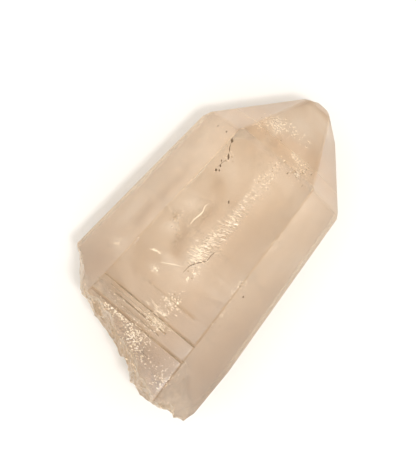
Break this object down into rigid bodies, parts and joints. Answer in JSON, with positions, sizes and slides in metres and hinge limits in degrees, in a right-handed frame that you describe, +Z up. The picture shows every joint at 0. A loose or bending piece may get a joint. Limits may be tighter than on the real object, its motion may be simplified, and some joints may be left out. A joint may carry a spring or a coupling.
{
  "type": "quartz crystal point",
  "caption": "Natural clear quartz crystal lying on a prism face: a tapered hexagonal prism with a blunt faceted point, stepped growth ledges and a rough broken base.",
  "frame": {"origin": "under the middle of the crystal's box, on the surface that it lies on", "axes": "+Y along the crystal's long axis towards its point, +Z up out of the uppermost prism face, +X to the right when the point is ahead"},
  "size_m": [0.0398, 0.0674, 0.0286],
  "materials": {
    "quartz": "clear natural quartz, smooth on the growth faces and rough on the break"
  },
  "bodies": {
    "root": {"crystal": "quartz"}
  },
  "joints": []
}
